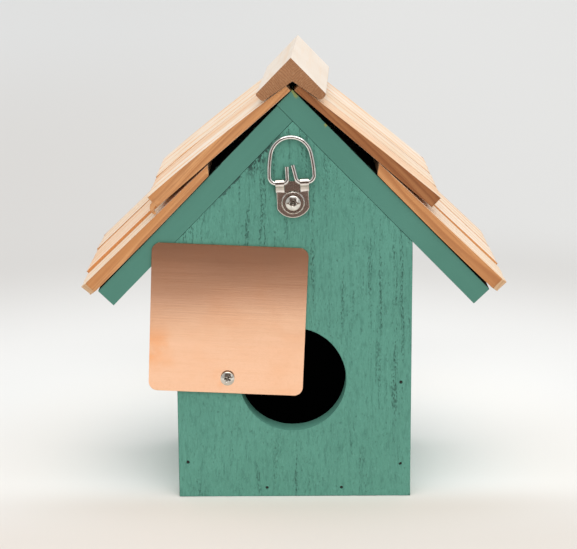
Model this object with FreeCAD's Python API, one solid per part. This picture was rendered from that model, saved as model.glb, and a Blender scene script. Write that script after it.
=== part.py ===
import FreeCAD, Part
import math
import os

from FreeCAD import Vector

# Gabled wooden birdhouse, in millimetres. +Z is up. The origin is the centre of the box's underside.
# The wall side, with the hanger and the clean-out hole, faces -Y; the entrance side faces +Y.

# The box
body_width = 105.0
body_depth = 84.0
board = 9.5                                   # thickness of every board
roof_pitch = 45.74                            # degrees
gable_apex = 171.8                            # where the two roof undersides meet
back_face = -body_depth / 2
front_face = body_depth / 2
inner_half_width = body_width / 2 - board

# The roof boards: flush with the back panel, overhanging the front
roof_length = 98.0
slope_length = 124.1
roof_apex = gable_apex + board / math.cos(math.radians(roof_pitch))

# Holes
clean_out_radius = 23.8
clean_out_x = -0.6
clean_out_z = 55.4
entrance_radius = 14.3
entrance_z = 104.0

# The shingles. Distances are measured down the slope from the roof apex, and square off the roof boards.
shingle_start = back_face - 1.0
lower_head = 52.3
lower_butt = 126.7
lower_head_slant = 3.2
lower_head_lift = 0.3
lower_middle_lift = 0.5
lower_butt_lift = 1.9
lower_head_share = 0.75                       # head thickness over butt thickness
upper_head = 0.8
upper_butt = 79.0
upper_head_lift = 0.4
upper_head_thickness = 2.95
upper_rest_lift = 4.7                         # where it rests on the lower course
upper_butt_lift = 7.3
# From the back panel forwards: width, extra length, extra lift, butt thickness, bow of the top
courses = {
    "left_lower": [(25, 1.9, -1.0, 5.8, 0), (43, 0.9, -1.0, 7.0, 0), (31, 0.3, -1.0, 7.4, 0)],
    "right_lower": [(31, 1.3, -0.5, 6.2, 0.1), (34, -0.5, -0.5, 6.8, 0), (34, -1.0, -0.5, 6.9, 0)],
    "left_upper": [(24, -0.8, -0.4, 6.2, 0.8), (24, -0.9, 0.2, 5.4, 0.7), (51, -1.2, 0.5, 5.5, 0.6)],
    "right_upper": [(25, 0.6, 0, 5.8, 0.4), (31, 0.4, 0.4, 5.5, 0.4), (43, -0.5, 0.5, 5.5, 0.4)],
}
shingle_gap = 0.15

# The ridge cap: its groove follows the roof, its outside is planed a little askew
cap_apex = 199.5
cap_half_width = 15.5
cap_side = 6.0
cap_groove_apex = 189.3
cap_groove_pitch = 34.3
cap_start = back_face - 2.0
cap_length = 97.0
cap_skew = -1.95
cap_offset = -0.7

# The copper cover, which hangs from one screw
cover_width = 69.0
cover_height = 67.8
cover_corner = 4.0
cover_sheet = 0.8
cover_gap = 0.3
cover_tilt = 2.68
pivot_x = -29.7
pivot_z = 56.6
pivot_from_edge = 7.1
pivot_from_middle = 0.75

# Screws
screw_radius = 1.75
screw_play = 0.1
screw_length = 10.0
pilot_depth = 9.3
screw_tip = 3.0
cover_head_radius = 3.1
hanger_head_radius = 3.3
head_height = 2.0
head_flat_share = 0.45                        # the flat crown's radius over the head's
head_round_share = 0.8                        # the radius at the round's middle over the head's
head_round_drop = 0.4
head_side = 1.3                               # height of the head's straight side
cover_screw_turn = 24.0                       # degrees, of the cross recess
hanger_screw_turn = 8.0
recess_depth = 1.2
recess_width = 0.9
recess_length = 3.4

# The picture hanger: a folded steel strap, one screw and a wire ring
hanger_z = 136.2
hanger_lean = -2.5                            # degrees about +Y
strap_half_width = 7.1
strap_bottom = -6.8
strap_corner = -2.6
strap_sheet = 0.75
strap_step = 4.6                              # top of the double layer
ring_axis_up = 8.9                            # above the screw
loop_outer = 2.0
loop_inner = 1.25
loop_inside = 3.5
loop_outside = 7.25
loop_exit = 235.0                             # degrees round the wire, where the fold leaves it
loop_waist = (-2.4, 6.2)                      # y and height of the fold's narrowest point
neck_half_width = 3.3
neck_top = 9.4
boss_radius = 5.1
boss_width = 1.0
boss_height = 0.6
wire_radius = 0.95
ring_half_width = 9.75
ring_corner = 3.0
ring_height = 19.9
ring_crown_radius = 8.9
ring_rest_angle = -2.6                        # the ring leans back against the panel
left_prong = (-2.0, 7.2)
right_prong_tip = (0.6, 7.8)
right_prong_lean = 12.0
left_prong_bend = 1.9
right_prong_bend = 2.4

# Brads
brad_radius = 0.55
brad_length = 18.0
brad_sink = 0.5
brad_play = 0.05
panel_brads = [(-48.3, 16.5), (-48.3, 54.0), (-12.5, 4.2), (21.2, 4.2), (47.8, 15.5), (47.8, 53.8)]
roof_brad_sink = 0.3
wall_brad_slope = 70.3
wall_brad_ys = (-22.0, 0.0, 22.0)
gable_brad_slopes = (24.0, 48.0)
shingle_brad_length = 10.0
upper_brad_slope = 14.0
lower_brad_slope = 62.0
shingle_brad_edge = 7.0


def on_roof(side, down, off, y=0.0):
    """A point by its distance down the slope and square off it, on the side -1 (left) or 1 (right)."""
    a = math.radians(roof_pitch)
    x = side * (down * math.cos(a) + off * math.sin(a))
    z = roof_apex - down * math.sin(a) + off * math.cos(a)
    return Vector(x, y, z)


def roof_normal(side):
    a = math.radians(roof_pitch)
    return Vector(side * math.sin(a), 0, math.cos(a))


def prism(points, start, length):
    """A solid with the given outline in the XZ plane, running from y = start."""
    moved = [Vector(p.x, start, p.z) for p in points]
    face = Part.Face(Part.makePolygon(moved + moved[:1]))
    return face.extrude(Vector(0, length, 0))


def underside_z(x):
    return gable_apex - abs(x) * math.tan(math.radians(roof_pitch))


def brad(head, direction, length, sink):
    """A headless brad driven in at a point, its top sunk below the surface."""
    return Part.makeCylinder(brad_radius, length - sink, head + direction * sink, direction)


def brad_hole(head, direction, length):
    return Part.makeCylinder(brad_radius + brad_play, length, head, direction)


def drill(wood, holes):
    for hole in holes:
        wood = wood.cut(hole)
    return wood


def panel_brad_heads(face_y, inward):
    heads = []
    for x, z in panel_brads:
        heads.append((Vector(x, face_y, z), Vector(0, inward, 0)))
    return heads


def roof_brad_heads(side):
    """Brads from a roof board down into the wall below it and into the two gables."""
    inward = roof_normal(side) * -1
    heads = []
    for y in wall_brad_ys:
        heads.append((on_roof(side, wall_brad_slope, 0, y), inward))
    for y in (back_face + board / 2, front_face - board / 2):
        for down in gable_brad_slopes:
            heads.append((on_roof(side, down, 0, y), inward))
    return heads


def gable_panel(start):
    """The five-sided end of the box."""
    half = body_width / 2
    shoulder = underside_z(half)
    points = [
        Vector(-half, 0, 0),
        Vector(half, 0, 0),
        Vector(half, 0, shoulder),
        Vector(0, 0, gable_apex),
        Vector(-half, 0, shoulder),
    ]
    return prism(points, start, board)


def side_wall(side):
    """A wall between the end panels, its top edge bevelled to the roof."""
    outer = side * body_width / 2
    inner = side * inner_half_width
    points = [
        Vector(outer, 0, 0),
        Vector(outer, 0, underside_z(outer)),
        Vector(inner, 0, underside_z(inner)),
        Vector(inner, 0, 0),
    ]
    return prism(points, back_face + board, body_depth - 2 * board)


def floor_board():
    size = Vector(2 * inner_half_width, body_depth - 2 * board, board)
    corner = Vector(-size.x / 2, -size.y / 2, 0)
    return Part.makeBox(size.x, size.y, size.z, corner)


def right_roof_board():
    """The board that runs up to the apex and laps the other one's end."""
    points = [
        on_roof(1, 0, 0),
        on_roof(1, slope_length, 0),
        on_roof(1, slope_length, -board),
        on_roof(1, 0, -board),
    ]
    return prism(points, back_face, roof_length)


def left_roof_board():
    lap_x = board / (2 * math.sin(math.radians(roof_pitch)))
    lap_z = (gable_apex + roof_apex) / 2
    points = [
        Vector(-lap_x, 0, lap_z),
        on_roof(-1, slope_length, 0),
        on_roof(-1, slope_length, -board),
        Vector(0, 0, gable_apex),
    ]
    return prism(points, back_face, roof_length)


def tapered_shingle(side, start, width, head, middle, butt, thick_head, thick_butt, slant, bow):
    """A tapered, slightly bowed shingle. head, middle and butt are (down, off) on its underside."""
    low_head = on_roof(side, head[0], head[1], start)
    low_middle = on_roof(side, middle[0], middle[1], start)
    low_butt = on_roof(side, butt[0], butt[1], start)
    top_butt = on_roof(side, butt[0], butt[1] + thick_butt, start)
    top_head = on_roof(side, head[0] - slant, head[1] + thick_head, start)
    top = Part.makeLine(top_butt, top_head)
    if bow:
        top_middle = (top_butt + top_head) / 2 + roof_normal(side) * bow
        top = Part.Arc(top_butt, top_middle, top_head).toShape()
    edges = [
        Part.Arc(low_head, low_middle, low_butt).toShape(),
        Part.makeLine(low_butt, top_butt),
        top,
        Part.makeLine(top_head, low_head),
    ]
    return Part.Face(Part.Wire(edges)).extrude(Vector(0, width - shingle_gap, 0))


def lower_shingle(side, start, width, extra, lift, thick, bow):
    head = (lower_head, lower_head_lift)
    middle = ((lower_head + lower_butt) / 2, lower_middle_lift + lift / 4)
    butt = (lower_butt + extra, lower_butt_lift + lift)
    thin = (thick + lift) * lower_head_share
    return tapered_shingle(side, start, width, head, middle, butt, thin, thick, lower_head_slant, bow)


def upper_shingle(side, start, width, extra, lift, thick, bow):
    head = (upper_head, upper_head_lift)
    middle = (lower_head - lower_head_slant, upper_rest_lift + lift)
    butt = (upper_butt + extra, upper_butt_lift + lift)
    thin = upper_head_thickness
    return tapered_shingle(side, start, width, head, middle, butt, thin, thick, 0, bow)


def shingle_brad_heads(side, start, width, down, off):
    inward = roof_normal(side) * -1
    heads = []
    for y in (start + shingle_brad_edge, start + width - shingle_brad_edge):
        heads.append((on_roof(side, down, off, y), inward))
    return heads


def course_of_shingles(name):
    """The shingles of one course, as (node name, solid, brad heads)."""
    side = -1 if name.startswith("left") else 1
    lower = name.endswith("lower")
    made = []
    start = shingle_start
    for number, (width, extra, lift, thick, bow) in enumerate(courses[name], 1):
        if lower:
            solid = lower_shingle(side, start, width, extra, lift, thick, bow)
            down = lower_brad_slope
        else:
            solid = upper_shingle(side, start, width, extra, lift, thick, bow)
            down = upper_brad_slope
        middle = start + width / 2
        foot = on_roof(side, down, 0, middle)
        probe = Part.makeLine(foot, on_roof(side, down, cap_half_width, middle))
        top = max(solid.common(probe).Vertexes, key=lambda v: v.Z).Point
        off = (top - foot).Length
        heads = shingle_brad_heads(side, start, width, down, off)
        made.append((f"{name}_shingle_{number}", solid, heads))
        start += width
    return made


def ridge_cap():
    a = math.radians(roof_pitch)
    side_drop = Vector(math.sin(a), 0, math.cos(a)) * cap_side
    corner = Vector(cap_half_width, 0, cap_apex - cap_half_width * math.tan(a))
    foot = corner - side_drop
    outline = [
        Vector(0, 0, cap_apex),
        corner,
        foot,
        Vector(-foot.x, 0, foot.z),
        Vector(-corner.x, 0, corner.z),
    ]
    block = prism(outline, cap_start, cap_length)
    block.rotate(Vector(0, cap_start, 0), Vector(0, 0, 1), cap_skew)
    block.translate(Vector(cap_offset, 0, 0))
    reach = 2 * cap_half_width
    groove_foot = cap_groove_apex - reach * math.tan(math.radians(cap_groove_pitch))
    groove = [
        Vector(0, 0, cap_groove_apex),
        Vector(reach, 0, groove_foot),
        Vector(-reach, 0, groove_foot),
    ]
    return block.cut(prism(groove, cap_start - cap_side, cap_length + 2 * cap_side))


def cover_plate():
    """The copper sheet in its swung-open place, tilted about its screw."""
    left = pivot_x - cover_width / 2 - pivot_from_middle
    low = pivot_z - pivot_from_edge
    near = back_face - cover_gap - cover_sheet
    sheet = Part.makeBox(cover_width, cover_sheet, cover_height, Vector(left, near, low))
    corners = [e for e in sheet.Edges if abs(e.tangentAt(e.FirstParameter).y) > 0.5]
    sheet = sheet.makeFillet(cover_corner, corners)
    hole_start = Vector(pivot_x, near - cover_sheet, pivot_z)
    hole = Part.makeCylinder(screw_radius + screw_play, 3 * cover_sheet, hole_start, Vector(0, 1, 0))
    sheet = sheet.cut(hole)
    sheet.rotate(Vector(pivot_x, 0, pivot_z), Vector(0, 1, 0), cover_tilt)
    return sheet


def pan_screw(x, z, head_seat, head_radius, turn):
    """A cross-recessed pan-head wood screw. head_seat is the y of the underside of its head."""
    crown = head_seat - head_height
    shoulder = head_seat - head_side
    flat = head_radius * head_flat_share
    tip = head_seat + screw_length
    edges = [
        Part.makeLine(Vector(0, crown, 0), Vector(0, tip, 0)),
        Part.makeLine(Vector(0, tip, 0), Vector(screw_radius, tip - screw_tip, 0)),
        Part.makeLine(Vector(screw_radius, tip - screw_tip, 0), Vector(screw_radius, head_seat, 0)),
        Part.makeLine(Vector(screw_radius, head_seat, 0), Vector(head_radius, head_seat, 0)),
        Part.makeLine(Vector(head_radius, head_seat, 0), Vector(head_radius, shoulder, 0)),
        Part.Arc(
            Vector(head_radius, shoulder, 0),
            Vector(head_radius * head_round_share, crown + head_round_drop, 0),
            Vector(flat, crown, 0),
        ).toShape(),
        Part.makeLine(Vector(flat, crown, 0), Vector(0, crown, 0)),
    ]
    screw = Part.Face(Part.Wire(edges)).revolve(Vector(0, 0, 0), Vector(0, 1, 0), 360)
    bar = Vector(recess_length, recess_depth + 1, recess_width)
    across = Part.makeBox(bar.x, bar.y, bar.z, Vector(-bar.x / 2, crown - 1, -bar.z / 2))
    upright = Part.makeBox(bar.z, bar.y, bar.x, Vector(-bar.z / 2, crown - 1, -bar.x / 2))
    taper = Part.makeCone(
        recess_length / 2 + 1, recess_width / 2, bar.y, Vector(0, crown - 1, 0), Vector(0, 1, 0)
    )
    screw = screw.cut(across.fuse(upright).common(taper))
    screw.rotate(Vector(0, 0, 0), Vector(0, 1, 0), turn)
    screw.translate(Vector(x, 0, z))
    return screw


def hanger_place(shape):
    """Moves a hanger piece from its own frame, whose origin is the screw, to the back panel."""
    shape.rotate(Vector(0, 0, 0), Vector(0, 1, 0), hanger_lean)
    shape.translate(Vector(0, back_face, hanger_z))
    return shape


def strap_loop(start, end):
    """One folded tab of the strap, wrapped round the wire's axis."""
    exit_angle = math.radians(loop_exit)
    exit_y = -loop_outer + loop_outer * math.cos(exit_angle)
    exit_z = ring_axis_up + loop_outer * math.sin(exit_angle)
    waist = Vector(start, *loop_waist)
    points = [
        Vector(start, exit_y, exit_z),
        waist,
        Vector(start, -2 * strap_sheet, strap_step),
        Vector(start, 0, strap_step),
        Vector(start, 0, ring_axis_up),
    ]
    edges = [Part.makeLine(points[i], points[i + 1]) for i in range(len(points) - 1)]
    crown = Vector(start, -loop_outer, ring_axis_up + loop_outer)
    edges.append(Part.Arc(points[-1], crown, points[0]).toShape())
    solid = Part.Face(Part.Wire(edges)).extrude(Vector(end - start, 0, 0))
    eye = Part.makeCylinder(
        loop_inner, end - start, Vector(start, -loop_outer, ring_axis_up), Vector(1, 0, 0)
    )
    return solid.cut(eye)


def hanger_strap():
    corner = Vector(strap_half_width, 0, strap_corner)
    far_corner = Vector(-strap_half_width, 0, strap_corner)
    top = Vector(strap_half_width, 0, strap_step)
    far_top = Vector(-strap_half_width, 0, strap_step)
    edges = [
        Part.Arc(far_corner, Vector(0, 0, strap_bottom), corner).toShape(),
        Part.makeLine(corner, top),
        Part.makeLine(top, far_top),
        Part.makeLine(far_top, far_corner),
    ]
    plate = Part.Face(Part.Wire(edges)).extrude(Vector(0, -2 * strap_sheet, 0))
    neck_corner = Vector(-neck_half_width, -strap_sheet, strap_step)
    neck = Part.makeBox(2 * neck_half_width, strap_sheet, neck_top - strap_step, neck_corner)
    left = strap_loop(-loop_outside, -loop_inside)
    right = strap_loop(loop_inside, loop_outside)
    boss_near = Vector(0, -2 * strap_sheet, 0)
    outward = Vector(0, -1, 0)
    boss = Part.makeCone(boss_radius, boss_radius - boss_width / 2, boss_height, boss_near, outward)
    boss = boss.cut(Part.makeCylinder(boss_radius - boss_width, boss_height, boss_near, outward))
    hole = Part.makeCylinder(screw_radius + screw_play, 2 * strap_sheet, Vector(0, 0, 0), outward)
    strap = plate.fuse([neck, left, right, boss]).cut(hole).removeSplitter()
    return hanger_place(strap)


def ring_path():
    """The wire's centreline in the XZ plane of the ring, from the left prong round to the right one."""
    drop = ring_height - ring_crown_radius - ring_corner
    side_radius = (ring_half_width**2 + drop**2 - ring_crown_radius**2) / (
        2 * (ring_half_width - ring_crown_radius)
    )
    centre_x = ring_half_width - side_radius
    centre_z = ring_height - ring_crown_radius
    join = math.atan2(drop, side_radius - ring_half_width)
    middle = join / 2

    def on_side(sign, angle):
        x = centre_x + side_radius * math.cos(angle)
        return Vector(sign * x, 0, ring_corner + side_radius * math.sin(angle))

    def bend(centre, radius, angle):
        a = math.radians(angle)
        return Vector(centre.x + radius * math.cos(a), 0, centre.z + radius * math.sin(a))

    corner = Vector(ring_half_width - ring_corner, 0, ring_corner)
    far_corner = Vector(-corner.x, 0, corner.z)
    left_bend = Vector(left_prong[0] - left_prong_bend, 0, left_prong_bend)
    lean = math.radians(right_prong_lean)
    along = Vector(-math.sin(lean), 0, math.cos(lean))
    tip = Vector(right_prong_tip[0], 0, right_prong_tip[1])
    run = (tip.z - right_prong_bend + right_prong_bend * math.sin(lean)) / math.cos(lean)
    bend_end = tip - along * run
    right_bend = bend_end + Vector(math.cos(lean), 0, math.sin(lean)) * right_prong_bend
    crown_top = Vector(0, 0, centre_z + ring_crown_radius)
    quarter = 45.0
    return [
        Part.makeLine(Vector(left_prong[0], 0, left_prong[1]), bend(left_bend, left_prong_bend, 0)),
        Part.Arc(
            bend(left_bend, left_prong_bend, 0),
            bend(left_bend, left_prong_bend, -quarter),
            bend(left_bend, left_prong_bend, -2 * quarter),
        ).toShape(),
        Part.makeLine(bend(left_bend, left_prong_bend, -2 * quarter), Vector(far_corner.x, 0, 0)),
        Part.Arc(
            Vector(far_corner.x, 0, 0),
            bend(far_corner, ring_corner, 180 + quarter),
            bend(far_corner, ring_corner, 180),
        ).toShape(),
        Part.Arc(on_side(-1, 0), on_side(-1, middle), on_side(-1, join)).toShape(),
        Part.Arc(on_side(-1, join), crown_top, on_side(1, join)).toShape(),
        Part.Arc(on_side(1, join), on_side(1, middle), on_side(1, 0)).toShape(),
        Part.Arc(
            bend(corner, ring_corner, 0),
            bend(corner, ring_corner, -quarter),
            Vector(corner.x, 0, 0),
        ).toShape(),
        Part.makeLine(Vector(corner.x, 0, 0), bend(right_bend, right_prong_bend, -2 * quarter)),
        Part.Arc(
            bend(right_bend, right_prong_bend, -2 * quarter),
            bend(right_bend, right_prong_bend, -2 * quarter - (2 * quarter - right_prong_lean) / 2),
            bend_end,
        ).toShape(),
        Part.makeLine(bend_end, tip),
    ]


def hanger_ring():
    path = Part.Wire(ring_path())
    start = Vector(left_prong[0], 0, left_prong[1])
    section = Part.Wire(Part.makeCircle(wire_radius, start, Vector(0, 0, 1)))
    wire = path.makePipeShell([section], True, True)
    wire.translate(Vector(0, -loop_outer, ring_axis_up))
    wire.rotate(Vector(0, -loop_outer, ring_axis_up), Vector(1, 0, 0), ring_rest_angle)
    return hanger_place(wire)


def driven(heads, length, sink):
    """A group of brads, and the holes they fill."""
    brads = [brad(head, direction, length, sink) for head, direction in heads]
    holes = [brad_hole(head, direction, length) for head, direction in heads]
    return Part.makeCompound(brads), holes


def build():
    nodes = {}
    cover_seat = back_face - cover_gap - cover_sheet - screw_play
    cover_screw = pan_screw(pivot_x, pivot_z, cover_seat, cover_head_radius, cover_screw_turn)
    hanger_seat = back_face - 2 * strap_sheet
    hanger_screw = pan_screw(0, hanger_z, hanger_seat, hanger_head_radius, hanger_screw_turn)
    pilot_radius = screw_radius + brad_play
    pilots = []
    for x, z in ((pivot_x, pivot_z), (0, hanger_z)):
        mouth = Vector(x, back_face, z)
        pilots.append(Part.makeCylinder(pilot_radius, pilot_depth, mouth, Vector(0, 1, 0)))

    back_brads, back_holes = driven(panel_brad_heads(back_face, 1), brad_length, brad_sink)
    front_brads, front_holes = driven(panel_brad_heads(front_face, -1), brad_length, brad_sink)
    left_brads, left_holes = driven(roof_brad_heads(-1), brad_length, roof_brad_sink)
    right_brads, right_holes = driven(roof_brad_heads(1), brad_length, roof_brad_sink)

    clean_out = Part.makeCylinder(
        clean_out_radius, board, Vector(clean_out_x, back_face, clean_out_z), Vector(0, 1, 0)
    )
    entrance = Part.makeCylinder(
        entrance_radius, board, Vector(0, front_face - board, entrance_z), Vector(0, 1, 0)
    )
    roof_holes = left_holes + right_holes
    end_holes = back_holes + front_holes
    nodes["back_panel"] = drill(gable_panel(back_face), [clean_out] + pilots + back_holes + roof_holes)
    nodes["front_panel"] = drill(gable_panel(front_face - board), [entrance] + front_holes + roof_holes)
    nodes["left_wall"] = drill(side_wall(-1), end_holes + left_holes)
    nodes["right_wall"] = drill(side_wall(1), end_holes + right_holes)
    nodes["floor_board"] = drill(floor_board(), end_holes)

    shingle_holes = {-1: [], 1: []}
    shingle_brads = {-1: [], 1: []}
    for name in courses:
        side = -1 if name.startswith("left") else 1
        for node, solid, heads in course_of_shingles(name):
            brads, holes = driven(heads, shingle_brad_length, roof_brad_sink)
            nodes[node] = drill(solid, holes)
            shingle_holes[side] += holes
            shingle_brads[side] += brads.Solids
    nodes["left_roof_board"] = drill(left_roof_board(), left_holes + shingle_holes[-1])
    nodes["right_roof_board"] = drill(right_roof_board(), right_holes + shingle_holes[1])
    nodes["ridge_cap"] = ridge_cap()

    nodes["cover_plate"] = cover_plate()
    nodes["cover_screw"] = cover_screw
    nodes["hanger_strap"] = hanger_strap()
    nodes["hanger_ring"] = hanger_ring()
    nodes["hanger_screw"] = hanger_screw

    nodes["back_panel_brads"] = back_brads
    nodes["front_panel_brads"] = front_brads
    nodes["roof_board_brads"] = Part.makeCompound(left_brads.Solids + right_brads.Solids)
    nodes["left_shingle_brads"] = Part.makeCompound(shingle_brads[-1])
    nodes["right_shingle_brads"] = Part.makeCompound(shingle_brads[1])
    return nodes


os.makedirs("parts", exist_ok=True)
for node_name, shape in build().items():
    shape.exportStep(f"parts/{node_name}.step")
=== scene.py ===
import math

import bmesh
import bpy
from mathutils import Matrix, Vector, noise


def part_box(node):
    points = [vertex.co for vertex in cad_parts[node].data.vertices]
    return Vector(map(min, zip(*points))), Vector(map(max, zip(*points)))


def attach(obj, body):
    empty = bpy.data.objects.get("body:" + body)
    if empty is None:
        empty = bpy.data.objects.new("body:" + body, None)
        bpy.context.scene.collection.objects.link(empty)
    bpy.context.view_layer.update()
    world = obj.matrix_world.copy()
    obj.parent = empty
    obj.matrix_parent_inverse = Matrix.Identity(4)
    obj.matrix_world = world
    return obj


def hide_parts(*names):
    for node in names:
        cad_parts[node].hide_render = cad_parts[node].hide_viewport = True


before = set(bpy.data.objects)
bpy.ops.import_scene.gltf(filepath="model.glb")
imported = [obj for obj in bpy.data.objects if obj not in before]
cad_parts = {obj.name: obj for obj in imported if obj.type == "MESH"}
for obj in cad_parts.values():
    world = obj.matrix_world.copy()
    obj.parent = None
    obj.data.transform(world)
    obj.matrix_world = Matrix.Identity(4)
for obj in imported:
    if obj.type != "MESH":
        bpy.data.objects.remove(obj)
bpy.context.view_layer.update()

MM = 0.001
BOARD = 9.5 * MM                              # thickness of every painted board
ROOF_PITCH = math.radians(45.74)
GABLE_APEX = 171.8 * MM                       # where the two roof undersides meet
ROOF_APEX = GABLE_APEX + BOARD / math.cos(ROOF_PITCH)
ROOF_TOP = GABLE_APEX * math.cos(ROOF_PITCH) + BOARD      # a roof board's top face, in its turned frame

CLEAN_OUT_X, CLEAN_OUT_Z = -0.6 * MM, 55.4 * MM
CLEAN_OUT_RADIUS = 23.8 * MM
ENTRANCE_Z = 104 * MM
ENTRANCE_RADIUS = 14.3 * MM

# The copper sheet leans by COVER_TILT. Its screw's place is in the sheet's own turned frame.
COVER_TILT = math.radians(2.68)
SCREW_PLACE = Matrix.Rotation(-COVER_TILT, 3, "Y") @ Vector((-29.7, 0, 56.6)) * MM

# The row frame's directions
UP = Vector((0, 0, 1))
DOWN = Vector((0, 0, -1))
BACK = Vector((0, -1, 0))                     # the wall side, which faces the main camera
FRONT = Vector((0, 1, 0))
RIGHT = Vector((1, 0, 0))
LEFT = Vector((-1, 0, 0))


# ---------------------------------------------------------------- node trees

class Tree:
    """Builds one material's nodes. Sockets and plain values can be mixed as inputs."""

    def __init__(self, name):
        self.material = bpy.data.materials.new(name)
        self.material.use_nodes = True
        self.nodes = self.material.node_tree.nodes
        self.links = self.material.node_tree.links
        self.nodes.clear()
        self.shader = self.nodes.new("ShaderNodeBsdfPrincipled")
        output = self.nodes.new("ShaderNodeOutputMaterial")
        self.links.new(self.shader.outputs[0], output.inputs["Surface"])
        coordinates = self.nodes.new("ShaderNodeTexCoord")
        self.place = coordinates.outputs["Object"]
        self.normal = coordinates.outputs["Normal"]

    def feed(self, socket, value):
        if isinstance(value, bpy.types.NodeSocket):
            self.links.new(value, socket)
        elif socket.type == "RGBA" and len(value) == 3:
            socket.default_value = (*value, 1)
        else:
            socket.default_value = value

    def math(self, operation, a, b=0.0):
        node = self.nodes.new("ShaderNodeMath")
        node.operation = operation
        self.feed(node.inputs[0], a)
        self.feed(node.inputs[1], b)
        return node.outputs[0]

    def vector(self, operation, a, b=(0, 0, 0)):
        node = self.nodes.new("ShaderNodeVectorMath")
        node.operation = operation
        self.feed(node.inputs[0], a)
        self.feed(node.inputs[1], b)
        return node.outputs["Value" if operation in ("LENGTH", "DOT_PRODUCT") else "Vector"]

    def stretch(self, place, scale, shift=(0, 0, 0)):
        """The place scaled along each axis, in turns per metre, and then shifted."""
        node = self.nodes.new("ShaderNodeMapping")
        self.feed(node.inputs["Vector"], place)
        node.inputs["Scale"].default_value = scale
        node.inputs["Location"].default_value = shift
        return node.outputs[0]

    def noise(self, place, detail=3.0, roughness=0.5, distortion=0.0):
        node = self.nodes.new("ShaderNodeTexNoise")
        self.feed(node.inputs["Vector"], place)
        node.inputs["Scale"].default_value = 1.0
        node.inputs["Detail"].default_value = detail
        node.inputs["Roughness"].default_value = roughness
        node.inputs["Distortion"].default_value = distortion
        return node.outputs["Fac"]

    def between(self, value, low, high):
        """0 below low, 1 above high, smooth between them."""
        node = self.nodes.new("ShaderNodeMapRange")
        node.interpolation_type = "SMOOTHSTEP"
        self.feed(node.inputs["Value"], value)
        node.inputs["From Min"].default_value = low
        node.inputs["From Max"].default_value = high
        return node.outputs["Result"]

    def mix(self, share, a, b, blend="MIX"):
        node = self.nodes.new("ShaderNodeMix")
        node.data_type = "RGBA"
        node.blend_type = blend
        self.feed(node.inputs["Factor"], share)
        first_colour, second_colour, mixed_colour = node.inputs[6], node.inputs[7], node.outputs[2]
        self.feed(first_colour, a)
        self.feed(second_colour, b)
        return mixed_colour

    def part(self, vector, axis):
        """One component of a vector: 0, 1 or 2."""
        node = self.nodes.new("ShaderNodeSeparateXYZ")
        self.feed(node.inputs[0], vector)
        return node.outputs[axis]

    def bump(self, height, distance):
        node = self.nodes.new("ShaderNodeBump")
        node.inputs["Strength"].default_value = 1.0
        node.inputs["Distance"].default_value = distance
        self.feed(node.inputs["Height"], height)
        return node.outputs[0]

    def finish(self, colour, roughness, normal, **constants):
        self.feed(self.shader.inputs["Base Color"], colour)
        self.feed(self.shader.inputs["Roughness"], roughness)
        self.feed(self.shader.inputs["Normal"], normal)
        for name, value in constants.items():
            self.shader.inputs[name.replace("_", " ")].default_value = value
        return self.material


# ---------------------------------------------------------------- materials
# Wooden pieces have their grain along their own X, their outer face along their own +Z.

def torn_seam_shade(t, colour, strength):
    """Painted shade in the torn arris under the left roof board: near-black teal along the tear, darkest
    at one place part of the way down.
    """
    seam_shade_colour, torn_seam_shade_colour = (0.016, 0.042, 0.036), (0.018, 0.048, 0.040)
    start, end = 3 * MM, 46 * MM              # sideways from the apex
    worst_place = 15.5 * MM

    out, z = t.part(t.place, 1), t.part(t.place, 0)
    sideways = t.math("ABSOLUTE", out)
    rise = t.math("ADD", z, t.math("MULTIPLY", sideways, math.tan(ROOF_PITCH)))
    below = t.math("MULTIPLY", t.math("SUBTRACT", GABLE_APEX, rise), math.cos(ROOF_PITCH))
    ragged = t.noise(t.stretch(t.place, (420, 420, 420)), 3, 0.6)
    reach = t.math("MULTIPLY", t.between(ragged, 0.42, 0.72), 2.6 * MM)
    share = t.between(t.math("SUBTRACT", reach, below), -0.3 * MM, 0.5 * MM)
    left = t.math("MULTIPLY", t.between(out, start, start + 5 * MM), t.between(out, end, end - 24 * MM))
    worn_and_shaded = t.math("MULTIPLY", share, t.math("MULTIPLY", left, strength))
    # painted shade: near-black teal in the tear along the joint
    colour = t.mix(worn_and_shaded, colour, seam_shade_colour)

    from_worst = t.math("ABSOLUTE", t.math("SUBTRACT", out, worst_place))
    splinters = t.noise(t.stretch(t.place, (260, 700, 700), (2, 7, 5)), 3, 0.65)
    around = t.between(from_worst, 5.5 * MM, 2.5 * MM)
    torn = t.math("MULTIPLY", around, t.between(below, 6.5 * MM, 1.5 * MM))
    torn = t.math("MULTIPLY", torn, t.between(splinters, 0.50, 0.58))
    # painted shade, darkest where the tear is worst
    return t.mix(t.math("MULTIPLY", torn, strength), colour, torn_seam_shade_colour)


def raw_spots(t, colour, top):
    """Bares the wood at two spots on the arris of a roof board whose top face is at the height top."""
    bare_green = (0.33, 0.37, 0.09)
    spots = ((1.5 * MM, 3.0 * MM), (21.0 * MM, 0.9 * MM))   # distance down the slope, half length

    worn_and_shaded = t.noise(t.stretch(t.place, (260, 300, 500), (4, 4, 4)), 3, 0.6)
    height = t.math("ADD", t.part(t.place, 2), t.math("MULTIPLY", worn_and_shaded, 3 * MM))
    edge = t.between(height, top - 0.2 * MM, top + 0.6 * MM)
    bare = 0.0
    for spot, reach in spots:
        along = t.math("SUBTRACT", t.part(t.place, 0), spot - ROOF_APEX * math.sin(ROOF_PITCH))
        near = t.between(t.math("ABSOLUTE", along), reach, 0.5 * reach)
        bare = t.math("MAXIMUM", bare, t.math("MULTIPLY", near, edge))
    return t.mix(t.math("MULTIPLY", bare, 0.8), colour, bare_green)


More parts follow.
